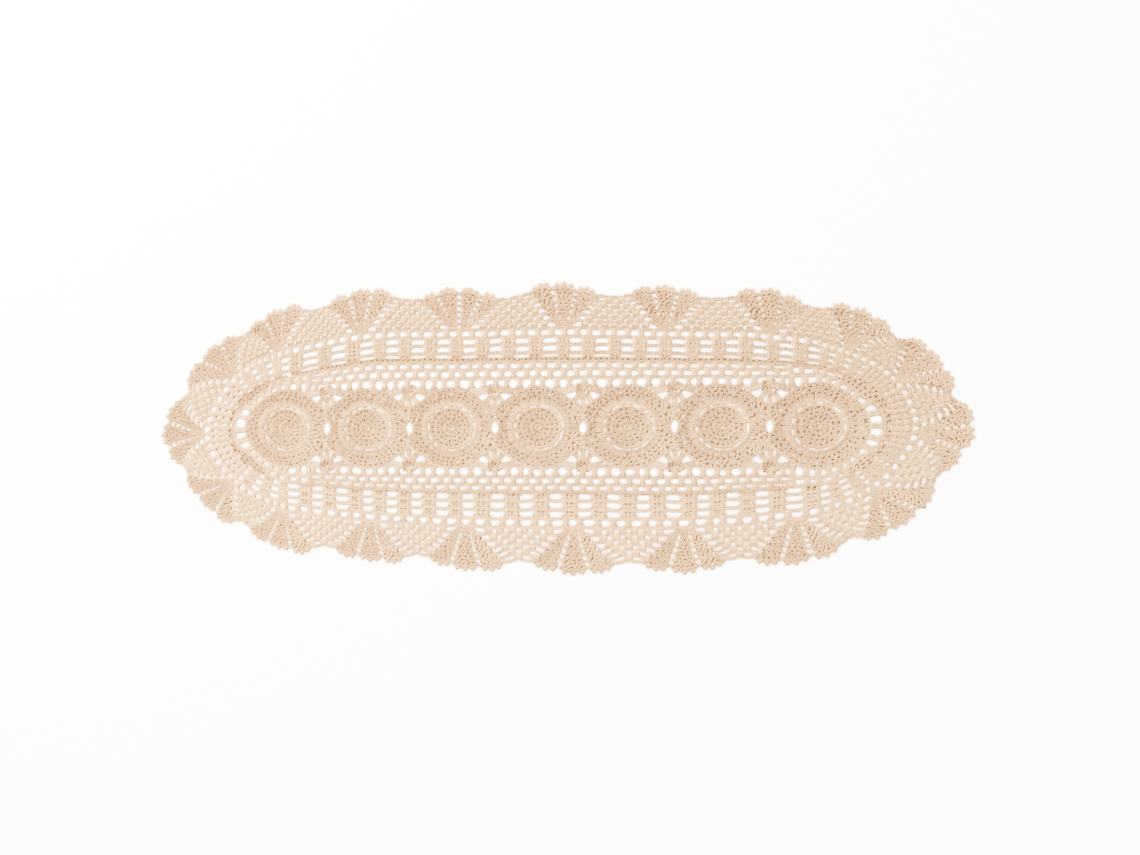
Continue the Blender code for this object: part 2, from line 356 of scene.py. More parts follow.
def grow_strand(bm, strand, around, along):
    """A strand of yarn: a disc extruded from point to point along its path."""
    points = [Vector(point[:3]) for point in strand.path]
    stand = Matrix.Rotation(pi / 2, 4, "X")
    places = []
    for k, point in enumerate(points):
        before = points[max(k - 1, 0)]
        after = points[min(k + 1, len(points) - 1)]
        turn = (after - before).to_track_quat("Y", "Z").to_matrix().to_4x4()
        size = Matrix.Scale(strand.path[k][3], 4)
        places.append(Matrix.Translation(point) @ turn @ stand @ size)
    disc = bmesh.ops.create_circle(
        bm, cap_ends=True, segments=strand.sides, radius=strand.radius, matrix=places[0]
    )
    for k, vert in enumerate(disc["verts"]):
        vert[around] = k / strand.sides
        vert[along] = 0.0
    tip = disc["verts"][0].link_faces[0]
    travelled = 0.0
    for k in range(1, len(points)):
        travelled += (points[k] - points[k - 1]).length
        grown = bmesh.ops.extrude_face_region(bm, geom=[tip])["geom"]
        ring = [item for item in grown if isinstance(item, bmesh.types.BMVert)]
        tip = next(item for item in grown if isinstance(item, bmesh.types.BMFace))
        step = places[k] @ places[k - 1].inverted()
        bmesh.ops.transform(bm, matrix=step, verts=ring)
        for vert in ring:
            vert[along] = travelled


Shape = namedtuple("Shape", "points corners face_starts uv")


def stitch_shape(stitch):
    """A stitch as arrays, with its width and its length made one unit."""
    bm = bmesh.new()
    around = bm.verts.layers.float.new("around")
    along = bm.verts.layers.float.new("along")
    for strand in stitch.strands:
        grow_strand(bm, strand, around, along)
    bmesh.ops.recalc_face_normals(bm, faces=bm.faces[:])
    bm.verts.index_update()
    scale = (1 / stitch.width, 1 / stitch.length, 1.0)
    points = np.array([[c * s for c, s in zip(vert.co, scale)] for vert in bm.verts])
    corners = []
    face_starts = []
    uv = []
    for face in bm.faces:
        face_starts.append(len(corners))
        turns = [vert[around] for vert in face.verts]
        on_side = len({vert[along] for vert in face.verts}) > 1
        wraps = on_side and max(turns) - min(turns) > 0.5
        for vert, turn in zip(face.verts, turns):
            corners.append(vert.index)
            uv.append((turn + (1.0 if wraps and turn < 0.5 else 0.0), vert[along]))
    bm.free()
    return Shape(points, np.array(corners), np.array(face_starts), np.array(uv))


class Work:
    """Stitches of one piece and the flat dark strips of painted shade under them, gathered and
    then joined into meshes.
    """

    def __init__(self):
        self.stitches = {name: [] for name in STITCHES}
        self.shade_backs = []

    def lay(self, name, start, end, width=None, lift=0.0, shade_back=0.6):
        """One stitch from start to end, with a dark strip of painted shade below it."""
        width = STITCHES[name].width if width is None else width
        self.stitches[name].append((*start, *end, width, lift))
        if shade_back:
            self.lay_shade_back(start, end, width * shade_back)

    def lay_shade_back(self, start, end, width):
        """A flat dark strip of painted shade from start to end."""
        length = hypot(end[0] - start[0], end[1] - start[1])
        aside = width / (2 * length)
        x = (start[1] - end[1]) * aside
        y = (end[0] - start[0]) * aside
        self.shade_backs.append((
            (start[0] - x, start[1] - y), (start[0] + x, start[1] + y),
            (end[0] + x, end[1] + y), (end[0] - x, end[1] - y),
        ))

    def strip(self, points, width):
        """A flat dark strip of painted shade along a line of points."""
        for here, there in zip(points, points[1:]):
            self.lay_shade_back(here, there, width)

    def chain(self, points, width=None, link=LINK_LENGTH, lift=0.0, shade_back=0.6, name="link"):
        """Links of even length along a line of points."""
        lengths = [0.0]
        for here, there in zip(points, points[1:]):
            lengths.append(lengths[-1] + hypot(there[0] - here[0], there[1] - here[1]))
        count = max(1, round(lengths[-1] / link))
        wanted = [lengths[-1] * k / count for k in range(count + 1)]
        xs = np.interp(wanted, lengths, [point[0] for point in points])
        ys = np.interp(wanted, lengths, [point[1] for point in points])
        for k in range(count):
            self.lay(name, (xs[k], ys[k]), (xs[k + 1], ys[k + 1]), width, lift, shade_back)


def sway(points, amount):
    """Points moved a little on long smooth waves, so that no row is quite straight."""
    x = points[:, 0].copy()
    y = points[:, 1].copy()
    along = np.sin(x * 118 + y * 71) + 0.6 * np.sin(y * 197 - x * 53 + 1.3)
    across = np.sin(x * 97 - y * 83 + 0.7) + 0.6 * np.sin(x * 211 + y * 37)
    points[:, 0] += amount * along / 1.6
    points[:, 1] += amount * across / 1.6


def join_stitches(name, work, yarn, seed):
    """One mesh of all the stitches of a piece."""
    random = np.random.default_rng(seed)
    points = []
    tones = []
    corners = []
    face_starts = []
    uv = []
    point_count = 0
    corner_count = 0
    for kind, stitch in STITCHES.items():
        rows = np.array(work.stitches[kind], float)
        if not len(rows):
            continue
        shape = stitch_shape(stitch)
        count = len(rows)
        start = rows[:, 0:2] + random.uniform(-1, 1, (count, 2)) * yarn.unevenness
        end = rows[:, 2:4] + random.uniform(-1, 1, (count, 2)) * yarn.unevenness
        run = end - start
        length = np.hypot(run[:, 0], run[:, 1])
        side = np.column_stack([run[:, 1], -run[:, 0]]) / length[:, None]
        width = rows[:, 4] * random.uniform(0.92, 1.08, count) * yarn.thickness
        flip = random.choice([-1.0, 1.0], count) if kind == "post" else np.ones(count)
        lift = rows[:, 5] + random.uniform(0.0, 0.00025, count)
        across, on, up = shape.points.T
        placed = np.empty((count, len(shape.points), 3))
        placed[:, :, :2] = (
            start[:, None, :]
            + width[:, None, None] * across[None, :, None] * side[:, None, :]
            + on[None, :, None] * run[:, None, :]
        )
        placed[:, :, 2] = up[None, :] + lift[:, None]
        placed = placed.reshape(-1, 3)
        points.append(placed)
        tones.append(np.repeat(random.uniform(0.0, 1.0, count), len(shape.points)))
        offsets = point_count + len(shape.points) * np.arange(count)
        corners.append((offsets[:, None] + shape.corners[None, :]).ravel())
        starts = corner_count + len(shape.corners) * np.arange(count)
        face_starts.append((starts[:, None] + shape.face_starts[None, :]).ravel())
        shifts = random.uniform(0.0, 1.0, count)
        turned = np.tile(shape.uv, (count, 1))
        turned[:, 0] += np.repeat(shifts, len(shape.uv))
        uv.append(turned)
        point_count += len(placed)
        corner_count += count * len(shape.corners)
    points = np.concatenate(points)
    sway(points, yarn.drift)
    mesh = bpy.data.meshes.new(name)
    mesh.vertices.add(len(points))
    mesh.vertices.foreach_set("co", points.ravel())
    corners = np.concatenate(corners).astype(np.int32)
    face_starts = np.concatenate(face_starts).astype(np.int32)
    mesh.loops.add(len(corners))
    mesh.loops.foreach_set("vertex_index", corners)
    mesh.polygons.add(len(face_starts))
    mesh.polygons.foreach_set("loop_start", face_starts)
    mesh.uv_layers.new(name="strand")
    mesh.uv_layers["strand"].data.foreach_set("uv", np.concatenate(uv).ravel())
    tone = mesh.attributes.new("tone", "FLOAT", "POINT")
    tone.data.foreach_set("value", np.concatenate(tones))
    mesh.update(calc_edges=True)
    mesh.validate()
    mesh.shade_smooth()
    return mesh


def join_shade_backs(name, work, yarn, seed):
    """One mesh of all the flat dark strips of painted shade of a piece."""
    random = np.random.default_rng(seed)
    quads = np.array(work.shade_backs, float)
    count = len(quads)
    points = np.empty((count * 4, 3))
    points[:, :2] = quads.reshape(-1, 2)
    sway(points, yarn.drift)
    points[:, 2] = SHADE_BACK_HEIGHT + np.repeat(random.uniform(0.0, 0.0002, count), 4)
    faces = np.arange(count * 4).reshape(-1, 4)[:, ::-1]
    mesh = bpy.data.meshes.new(name)
    mesh.from_pydata(points.tolist(), [], faces.tolist())
    mesh.uv_layers.new(name="strand")
    tone = mesh.attributes.new("tone", "FLOAT", "POINT")
    tone.data.foreach_set("value", np.full(count * 4, 0.5))
    mesh.update(calc_edges=True)
    return mesh


def add_piece(context, name, mesh, nodes):
    """A finished piece: cotton yarn, riding on the runner, in place of its CAD nodes."""
    piece = bpy.data.objects.new(name, mesh)
    context.collection.objects.link(piece)
    mesh.materials.append(yarn_material(settings(context).yarn))
    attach(piece, BODY)
    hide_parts(*nodes)
    return piece


def add_work(context, name, work, nodes, seed):
    """The stitches of a piece and the dark strips of painted shade below them."""
    yarn = settings(context).yarn
    stitches = add_piece(context, name + "_stitches",
                         join_stitches(name + "_stitches", work, yarn, seed), nodes)
    shade_backs = add_piece(context, name + "_backs",
                      join_shade_backs(name + "_backs", work, yarn, seed + 1), nodes)
    return stitches, shade_backs


# Patterns of the pieces

# Rounds of a round motif: stitch, radii before it is flattened to its real height,
# stitches in the round, their width, and the share of the gaps closed by a dark strip
# of painted shade.
# Rounds of few narrow stitches leave rings of pits and holes.
Round = namedtuple("Round", "stitch inner outer count width closed")
MOTIF_ROUNDS = (
    Round("knot", 0.0006, 0.0042, 7, 0.0032, 1.0),
    Round("knot", 0.0042, 0.0060, 9, 0.0026, 1.0),
    Round("post", 0.0060, 0.0100, 15, 0.0036, 1.0),
    Round("knot", 0.0100, 0.0119, 13, 0.0035, 1.0),
    Round("knot", 0.0119, 0.0143, 20, 0.0045, 1.0),
    Round("knot", 0.0143, 0.0163, 17, 0.0036, 1.0),
    Round("post", 0.0163, 0.0200, 27, 0.0043, 1.0),
    Round("knot", 0.0200, 0.0220, 23, 0.0037, 0.85),
    Round("knot", 0.0220, 0.0244, 34, 0.0045, 1.0),
    Round("post", 0.0287, 0.0358, 52, 0.0040, 1.0),
    Round("knot", 0.0358, 0.0379, 40, 0.0038, 0.97),
    Round("knot", 0.0379, 0.0402, 56, 0.0044, 1.0),
    Round("knot", 0.0402, 0.0424, 44, 0.0038, 0.72),
    Round("knot", 0.0424, 0.0446, 60, 0.0046, 1.0),
    Round("knot", 0.0446, 0.0467, 46, 0.0040, 0.78),
)
MOTIF_BRAIDS = (0.0243, 0.0289)
SLOTS = 15
PLAIN_RADIUS = 0.0374
MOTIF_RIM = 0.0482
MOTIF_STEPS = 72
LOOSE_WIDTH = 0.0042

# Edge of a round motif, where it is free and where it is joined to the next one:
# degrees from the row's direction, and the radius there
FREE_EDGE = ((0.0, 25.0, 45.0, 90.0), (0.0512, 0.0492, 0.0470, MOTIF_REACH))
JOINED_EDGE = (
    (0.0, 5.0, 9.0, 14.0, 22.0, 30.0, 38.0, 47.0, 56.0, 66.0, 90.0),
    (0.0438, 0.0446, 0.0474, 0.0524, 0.0560, 0.0526, 0.0492, 0.0474, 0.0480, 0.0492,
     MOTIF_REACH),
)


def motif_edge(angle, place):
    """Radius of a round motif's edge: pulled out to its neighbours, with a notch between."""
    from_side = abs((angle + pi / 2) % pi - pi / 2)
    free = place == (MOTIF_COUNT - 1 if cos(angle) > 0 else 0)
    places, radii = FREE_EDGE if free else JOINED_EDGE
    return float(np.interp(degrees(from_side), places, radii))


def work_motif(place):
    """Round motif, from the centre out."""
    work = Work()
    random = np.random.default_rng(70 + place)
    centre = MOTIF_PITCH * (place - (MOTIF_COUNT - 1) / 2)
    flatten = MOTIF_HALF_HEIGHT / MOTIF_REACH
    first_angle = place * 0.37

    def at(turned, radius):
        angle = turned + first_angle
        if radius > PLAIN_RADIUS:
            stretch = (motif_edge(angle, place) - PLAIN_RADIUS) / (MOTIF_REACH - PLAIN_RADIUS)
            radius = PLAIN_RADIUS + (radius - PLAIN_RADIUS) * stretch
        return (centre + radius * cos(angle), radius * sin(angle) * flatten)

    def circle(radius):
        return [at(2 * pi * k / MOTIF_STEPS, radius) for k in range(MOTIF_STEPS + 1)]

    for number, each in enumerate(MOTIF_ROUNDS):
        step = 2 * pi / each.count
        loose = 0.18 if each.width < LOOSE_WIDTH else 0.05
        for k in range(each.count):
            angle = step * (k + 0.5 + random.uniform(-loose, loose)) + number
            work.lay(each.stitch, at(angle, each.inner), at(angle, each.outer), each.width)
            # A dark strip of painted shade closes the gap after this stitch.
            if random.random() < each.closed:
                gap = angle + step / 2
                work.lay_shade_back(at(gap, each.inner), at(gap, each.outer), 2 * each.width)
    for radius in MOTIF_BRAIDS:
        work.chain(circle(radius), width=0.0026, link=0.0031, lift=0.0002, shade_back=0.9)
    for k in range(SLOTS):
        angle = 2 * pi * (k + random.uniform(-0.3, 0.3)) / SLOTS
        work.lay("knot", at(angle, MOTIF_BRAIDS[0]), at(angle, MOTIF_BRAIDS[1]),
                 random.uniform(0.0030, 0.0068), shade_back=1.0)
    work.chain(circle(MOTIF_RIM), width=0.0036, name="knot", shade_back=0.8)
    return work


# Small motif: its hub, the ends of its spokes and the chains to its sides, all from
# the joint and the middle line, and the rings of petals of its hub, as shares of it
HUB_Y = 0.0420
HUB_WIDTH = 0.0096
HUB_HEIGHT = 0.0062
SPOKES = ((0.0017, 0.0208), (0.0088, 0.0256), (0.0116, 0.0282))
SPOKE_WIDTH = 0.0035
WINGS = (
    ((0.0077, 0.0405), (0.0212, 0.0372)),
    ((0.0077, 0.0430), (0.0140, 0.0418), (0.0275, 0.0412)),
)
WING_WIDTH = 0.0048
Ring = namedtuple("Ring", "petals inner outer width")
HUB_RINGS = (
    Ring(11, 0.64, 1.0, 0.0032),
    Ring(7, 0.34, 0.60, 0.0026),
    Ring(3, 0.05, 0.32, 0.0030),
)


def work_small_motif(joint, side):
    """Small motif between two round ones: a hub with spokes to its neighbours."""
    work = Work()

    def at(x, y):
        return (joint + x, side * y)

    def on_hub(angle, share):
        return at(HUB_WIDTH * share * cos(angle), HUB_Y + HUB_HEIGHT * share * sin(angle))

    for ring in HUB_RINGS:
        for k in range(ring.petals):
            angle = 2 * pi * k / ring.petals + 0.2
            work.lay("knot", on_hub(angle, ring.inner), on_hub(angle, ring.outer),
                     ring.width, shade_back=2.0)
    for mirror in (-1, 1):
        for x, y in SPOKES:
            share = 0.8 * HUB_HEIGHT / hypot(x, y - HUB_Y)
            start = at(mirror * x * share, HUB_Y + (y - HUB_Y) * share)
            work.lay("post", start, at(mirror * x, y), SPOKE_WIDTH)
        for wing in WINGS:
            work.chain([at(mirror * x, y) for x, y in wing], width=WING_WIDTH)
    return work


def arc(start, end, level, bow=0.0, steps=6):
    """Points along the border from turn to turn, bowed outwards in between."""
    points = []
    for k in range(steps + 1):
        share = k / steps
        turn = start + (end - start) * share
        points.append(border_point(turn, level + bow * 4 * share * (1 - share)))
    return points


# Net along the sides: the turns between which each side is straight, the levels of
# the chains over its rows, the first posts' places from a joint, and where it stops
STRAIGHTS = {1: (3.0, 63.0), -1: (75.0, 123.0)}
NET_LEVELS = (0.0540, 0.0630, 0.0706)
NET_POSTS = (0.0, 0.0142, 0.0283, 0.0422)
NET_END = 0.2680
COURSE_STEPS = 6
CORNER_WIDTH = 0.0041

# Rows of holes round an end: degrees from the runner's tip, and where the chains
# over the first and over the second row lie, as distances from the end motif's centre
END_DEGREES = (0.0, 14.0, 24.0, 36.0, 62.0, 78.0, 90.0)
END_FIRST = (0.0655, 0.0640, 0.0590, 0.0522, 0.0505, 0.0510, 0.0530)
END_EDGE = (0.0500, 0.0495, 0.0480, 0.0452, 0.0440, 0.0440, 0.0440)
END_PITCH = 0.0128
END_SECOND_ROW = 5.5
PITCH_LEVEL = 0.0560
PITCH_STEPS = 40

# Knotted chain: its level, how much lower it lies on the lower side, and its rows.
# Tight and loose rows take turns, each with its knots' width, pitch and the width of
# the dark strip of painted shade under them.
DENSE_LEVEL = 0.0762
DENSE_DROP = 0.0022
DENSE_ROWS = 5
DENSE_ROW_HEIGHT = 0.0042
DENSE_GAP = 0.3
DENSE_AT_TIP = 66.0
DENSE_KNOTS = ((0.0043, 0.0041, 0.0048), (0.0037, 0.0062, 0.0068))


def turn_at(x, side):
    """Turn of the border at a place along one of its straight sides."""
    first, last = STRAIGHTS[side]
    for _ in range(24):
        middle = (first + last) / 2
        if (at_fans(middle)[0] - x) * side < 0:
            first = middle
        else:
            last = middle
    return (first + last) / 2


def net_post_places():
    """Places along the net where its first posts stand, evenly round each joint."""
    places = []
    for joint in range(MOTIF_COUNT - 1):
        x = MOTIF_PITCH * (joint + 1 - MOTIF_COUNT / 2)
        places += [x - away for away in NET_POSTS[:0:-1]] + [x + away for away in NET_POSTS]
    return places


def motif_top(x):
    """Height of the motifs' upper edge over the middle line."""
    from_centre = (x + MOTIF_PITCH / 2) % MOTIF_PITCH - MOTIF_PITCH / 2
    edge = MOTIF_HALF_HEIGHT * max(0.0, 1 - (from_centre / MOTIF_REACH) ** 2) ** 0.5
    return max(edge, HUB_Y + 0.0020)


def lay_course(work, turns, low, high, width=0.0043, chain_width=0.0047, bow=0.0008):
    """One row of a net: posts, the chain over them, and yarn rounding the holes' corners."""
    for turn in turns:
        work.lay("post", low(turn), high(turn), width, shade_back=0.7)
    for start, end in zip(turns, turns[1:]):
        line = []
        for k in range(COURSE_STEPS + 1):
            share = k / COURSE_STEPS
            turn = start + (end - start) * share
            x, y = high(turn)
            _, out_x, out_y, _ = ray(turn)
            out = bow * (4 * share * (1 - share) - 0.5)
            line.append((x + out_x * out, y + out_y * out))
        work.chain(line, width=chain_width)
        for foot, head in ((low, high), (high, low)):
            for corner, inwards in ((start, 1), (end, -1)):
                across = corner + inwards * 0.25 * (end - start)
                x, y = foot(corner)
                tip_x, tip_y = head(corner)
                rise = min(0.46, 0.20 + 0.0026 / hypot(tip_x - x, tip_y - y))
                work.lay("link", (x + (tip_x - x) * rise, y + (tip_y - y) * rise),
                         foot(across), CORNER_WIDTH)


def course_turns(first, last, pitch, random):
    """Turns of a row's posts, about a pitch apart."""
    turns = [first + (last - first) * k / PITCH_STEPS for k in range(PITCH_STEPS + 1)]
    places = [ray_point(turn, PITCH_LEVEL) for turn in turns]
    gone = [0.0]
    for here, there in zip(places, places[1:]):
        gone.append(gone[-1] + hypot(there[0] - here[0], there[1] - here[1]))
    count = max(1, round(gone[-1] / pitch))
    wanted = [gone[-1] * (k + random.uniform(-0.15, 0.15)) / count for k in range(1, count)]
    return [first, *np.interp(wanted, gone, turns), last]


def from_tip(turn):
    """Degrees between the ray at a turn and the runner's tip."""
    _, out_x, out_y, _ = ray(turn)
    return degrees(atan2(abs(out_y), abs(out_x)))


def dense_level(turn):
    """Level of the knotted chain's outer edge, lower along the runner's lower side."""
    return DENSE_LEVEL - DENSE_DROP * max(0.0, -ray(turn)[2]) ** 4


def work_net():
    """Net between the motifs and the knotted chain."""
    work = Work()
    random = np.random.default_rng(5)
    first_posts = [x for x in net_post_places() if abs(x) < NET_END]
    second_posts = [(a + b) / 2 for a, b in zip(first_posts, first_posts[1:])]
    third_posts = [(a + b) / 2 for a, b in zip(second_posts, second_posts[1:])]

    def level_line(level):
        return lambda turn: border_point(turn, level)

    def motif_line(turn):
        x = ray(turn)[0]
        return (x, motif_top(x) * (1 if ray(turn)[2] > 0 else -1) * 0.97)

    lines = (motif_line, *(level_line(level) for level in NET_LEVELS))
    for side in STRAIGHTS:
        for row, posts in enumerate((first_posts, second_posts, third_posts)):
            loose = 0.0012 if row else 0.0022
            turns = [turn_at(x + random.uniform(-loose, loose), side) for x in posts]
            turns = [turn_at(-NET_END, side)] + turns + [turn_at(NET_END, side)]
            lay_course(work, turns, lines[row], lines[row + 1])

    def edge_line(turn):
        return ray_point(turn, np.interp(from_tip(turn), END_DEGREES, END_EDGE) - 0.0010)

    def first_line(turn):
        return ray_point(turn, np.interp(from_tip(turn), END_DEGREES, END_FIRST))

    ends = ((turn_at(NET_END, 1), turn_at(NET_END, -1)),
            (turn_at(-NET_END, -1), turn_at(-NET_END, 1) + TOTAL_LOOPS))
    for first, last in ends:
        turns = course_turns(first, last, END_PITCH, random)
        lay_course(work, turns, edge_line, first_line, width=0.0068, chain_width=0.0056)
        for start, end in ((first, first + END_SECOND_ROW), (last - END_SECOND_ROW, last)):
            turns = course_turns(start, end, END_PITCH, random)
            lay_course(work, turns, first_line, level_line(NET_LEVELS[2]))
    for row in range(DENSE_ROWS):
        width, pitch, shade_back = DENSE_KNOTS[row % 2]
        turn = 0.0
        while turn < TOTAL_LOOPS:
            outer = border_point(turn, dense_level(turn))
            inner = border_point(turn, NET_LEVELS[2])
            if from_tip(turn) < DENSE_AT_TIP:
                inner = first_line(turn)
            thickness = hypot(outer[0] - inner[0], outer[1] - inner[1])
            rows = min(DENSE_ROWS, 2 * round(thickness / DENSE_ROW_HEIGHT) + 1)
            total = rows + DENSE_GAP * (rows // 2)
            step = border_point(turn + 0.1, dense_level(turn))
            here = 0.1 / hypot(step[0] - outer[0], step[1] - outer[1])
            if row < rows:
                ends = []
                for part in (row, row + 1):
                    done = part + DENSE_GAP * (part // 2)
                    ends.append([a + (b - a) * done / total for a, b in zip(inner, outer)])
                work.lay("knot", *ends, width, shade_back=0)
                work.lay_shade_back(*ends, shade_back)
            turn += here * random.uniform(0.75, 1.25) * pitch
    return work


# Blocks: the levels of their three rounds, and the share of the pitch that a block
# takes on the sides, at the ends and near the tips, which begin at these angles in
# degrees from a tip. Then how many block rows are closed by a chain across laid on a
# wide dark strip of painted shade, and how far yarn goes across and up a hole's corner.
# The loops stand outside the blocks.
BLOCK_ROWS = ((0.0758, 0.0806), (0.0806, 0.0896), (0.0896, 0.0984))
BLOCK_SHARE = 0.30
BLOCK_SHARE_AT_ENDS = 0.36
BLOCK_SHARE_NEAR_TIP = 2 / 3
NEAR_TIP = 48.0
AT_END = 75.0
CLOSED_BLOCKS = 0.4
HOLE_CORNER = 0.27
HOLE_CORNER_RISE = 0.0038
LOOP_FOOT_LEVEL = 0.0985


def round_corners(work, start, end, low, high, width):
    """Yarn across the four corners of a hole of the border."""
    for corner, inwards in ((start, HOLE_CORNER), (end, -HOLE_CORNER)):
        for edge, out in ((low + 0.0004, HOLE_CORNER_RISE), (high - 0.0006, -HOLE_CORNER_RISE)):
            work.lay("link", border_point(corner, edge + out),
                     border_point(corner + inwards, edge), width)


def work_blocks():
    """Three rounds of blocks and gaps, and the round of loops outside them."""
    work = Work()
    ends = [stretch.start for stretch in STRETCHES[1:]]
    ends.append(STRETCHES[0].start + TOTAL_LOOPS)
    random = np.random.default_rng(6)
    blocks = []
    for stretch, end in zip(STRETCHES, ends):
        pitch = (end - stretch.start) / stretch.gaps
        for gap in range(stretch.gaps):
            middle = stretch.start + (gap + 0.5) * pitch + random.uniform(-0.05, 0.05)
            share = BLOCK_SHARE_AT_ENDS if from_tip(middle) < AT_END else BLOCK_SHARE
            if from_tip(middle) < NEAR_TIP:
                share = BLOCK_SHARE_NEAR_TIP
            blocks.append((middle, pitch * (share / 2 + random.uniform(-0.01, 0.01))))
    blocks.append((blocks[0][0] + TOTAL_LOOPS, blocks[0][1]))
    for (middle, half), (following, next_half) in zip(blocks, blocks[1:]):
        near_tip = from_tip(middle) < NEAR_TIP
        holes = [(middle + half, following - next_half)]
        if near_tip:
            holes += [(middle - half, middle), (middle, middle + half)]
        for row, (low, high) in enumerate(BLOCK_ROWS):
            low = low if row else dense_level(middle) - 0.0004
            foot = low + 0.0022
            for k in (-1, 0, 1):
                turn = middle + half * (k + random.uniform(-0.08, 0.08))
                work.lay("knot", border_point(turn, low), border_point(turn, foot),
                         0.0034, shade_back=0)
                work.lay("post", border_point(turn, foot), border_point(turn, high),
                         (0.0041 if near_tip else 0.0045) if k else 0.0038, shade_back=0.8)
            # Dark strips of painted shade along the foot and the head of the block.
            for level in (low + 0.0012, high - 0.0018):
                work.strip(arc(middle - half, middle + half, level), 0.0032)
            if not near_tip and random.random() < CLOSED_BLOCKS:
                across = arc(middle - half, middle + half, (low + high) / 2)
                work.strip(across, 0.0080)
                work.chain(across, width=0.0030)
            work.chain(arc(middle - half - 0.09, middle + half + 0.09, high),
                       width=0.0042, lift=0.0003)
            for hole in holes:
                work.chain(arc(*hole, high - 0.0004, 0.0010),
                           width=0.0041 if near_tip else 0.0047)
                if high - low > 0.0060:
                    round_corners(work, *hole, low, high, 0.0039)
    turns = [turn + random.uniform(-0.08, 0.08) for turn in range(TOTAL_LOOPS)]
    turns.append(turns[0] + TOTAL_LOOPS)
    for start, end in zip(turns, turns[1:]):
        thick = 0.0044 if from_tip(start) < AT_END else 0.0048
        work.lay("post", border_point(start, LOOP_FOOT_LEVEL),
                 border_point(start, LOOP_CHAIN_LEVEL), thick)
        work.chain(arc(start, end, LOOP_CHAIN_LEVEL - 0.0006, 0.0012), width=thick)
        round_corners(work, start, end, 0.0982, LOOP_CHAIN_LEVEL, 0.0040)
    return work


def rim_level(fan, away):
    """Level of a fan's rim at a number of turns from its middle."""
    places, levels = zip(*(RIMS[fan.lobes] + ((fan.loops / 2, VALLEY_LEVEL),)))
    share = np.interp(abs(away), (0.5, 1.3, 2.4, fan.loops / 2), (0.0, 1.0, 1.0, 0.0))
    reach = fan.first if away < 0 else fan.last
    return float(np.interp(abs(away), places, levels) + reach * share)


def fan_point(index, away, rounds, out=0.0):
    """Point of a fan, turns from its middle, at the top of one of its rounds."""
    fan = FANS[index]
    rim = rim_level(fan, away)
    level = LOOP_CHAIN_LEVEL + (rim - LOOP_CHAIN_LEVEL) * rounds / FAN_ROUNDS
    return border_point(FAN_TURNS[index] + away, level + out)


def lobe_edges(lobe, rounds):
    """Both edges of a lobe at the top of one round, in turns from the fan's middle."""
    share = rounds / FAN_ROUNDS
    return (
        lobe.low_start + (lobe.start - lobe.low_start) * share,
        lobe.low_end + (lobe.end - lobe.low_end) * share,
    )


# Rows of stitches in one round of a lobe: where each starts and ends, its pitch, the
# width of its stitches, and how far it is shifted, in stitches. Rows of narrow
# stitches leave pits between them.
LobeRow = namedtuple("LobeRow", "start end pitch width shift")
LOBE_ROWS = (
    LobeRow(0.0, 0.24, 0.0050, 0.0038, 0.22),
    LobeRow(0.24, 0.50, 0.0041, 0.0046, 0.0),
    LobeRow(0.50, 0.74, 0.0050, 0.0038, -0.22),
    LobeRow(0.74, 1.0, 0.0041, 0.0046, 0.0),
)
PICOT_LEANS = (-60, 0, 60)
VALLEY_BOW = 0.0016
VALLEY_KNOT_LEAN = 0.11


def work_lobes(work, index):
    """Lobes of one fan, with the holes between them and the picots on top."""
    fan = FANS[index]
    lobes = LOBES[fan.lobes]
    random = np.random.default_rng(200 + index)
    for rounds in range(1, FAN_ROUNDS + 1):
        before = None
        for lobe in lobes:
            low = lobe_edges(lobe, rounds - 1)
            high = lobe_edges(lobe, rounds)
            corners = [fan_point(index, away, rounds) for away in high]
            corners += [fan_point(index, away, rounds - 1) for away in low]
            wide = sum(hypot(b[0] - a[0], b[1] - a[1])
                       for a, b in (corners[:2], corners[2:])) / 2
            for row in LOBE_ROWS:
                count = max(2, round(wide / row.pitch))
                for k in range(count):
                    share = (k + 0.5 + row.shift + random.uniform(-0.12, 0.12)) / count
                    ends = []
                    for done in (row.start, row.end):
                        left, right = lobe_edges(lobe, rounds - 1 + done)
                        ends.append(fan_point(index, left + (right - left) * share,
                                              rounds - 1 + done))
                    work.lay("knot", *ends, row.width, shade_back=0.7)
            middle = (low[0] + low[1]) / 2
            # A dark strip of painted shade under the whole lobe.
            work.lay_shade_back(fan_point(index, middle, rounds - 1),
                          fan_point(index, (high[0] + high[1]) / 2, rounds), wide * 0.92)
            if before is not None:
                bridge = [fan_point(index, before + (high[0] - before) * k / 2, rounds)
                          for k in range(3)]
                work.chain(bridge, width=0.0040)
            before = high[1]
    for lobe in lobes:
        edge = [fan_point(index, away, FAN_ROUNDS, 0.0014)
                for away in np.linspace(lobe.start - 0.05, lobe.end + 0.05, 9)]
        work.chain(edge, name="knot", link=0.0034, lift=0.0001)
    for away in PICOTS[fan.lobes]:
        for lean in PICOT_LEANS:
            aside = sin(radians(lean))
            out = 0.0036 + 0.0016 * cos(radians(lean))
            work.lay("knot", fan_point(index, away + 0.03 * aside, FAN_ROUNDS, 0.0010),
                     fan_point(index, away + 0.10 * aside, FAN_ROUNDS, out), 0.0036)


def valley_point(index, turn, rounds, out=0.0):
    """Point between a fan's middle and the next one's, at the top of a round."""
    fan = FANS[index]
    away = turn - FAN_TURNS[index]
    if away <= fan.loops / 2:
        return fan_point(index, away, rounds, out)
    following = (index + 1) % len(FANS)
    away -= (fan.loops + FANS[following].loops) / 2
    return fan_point(following, away, rounds, out)


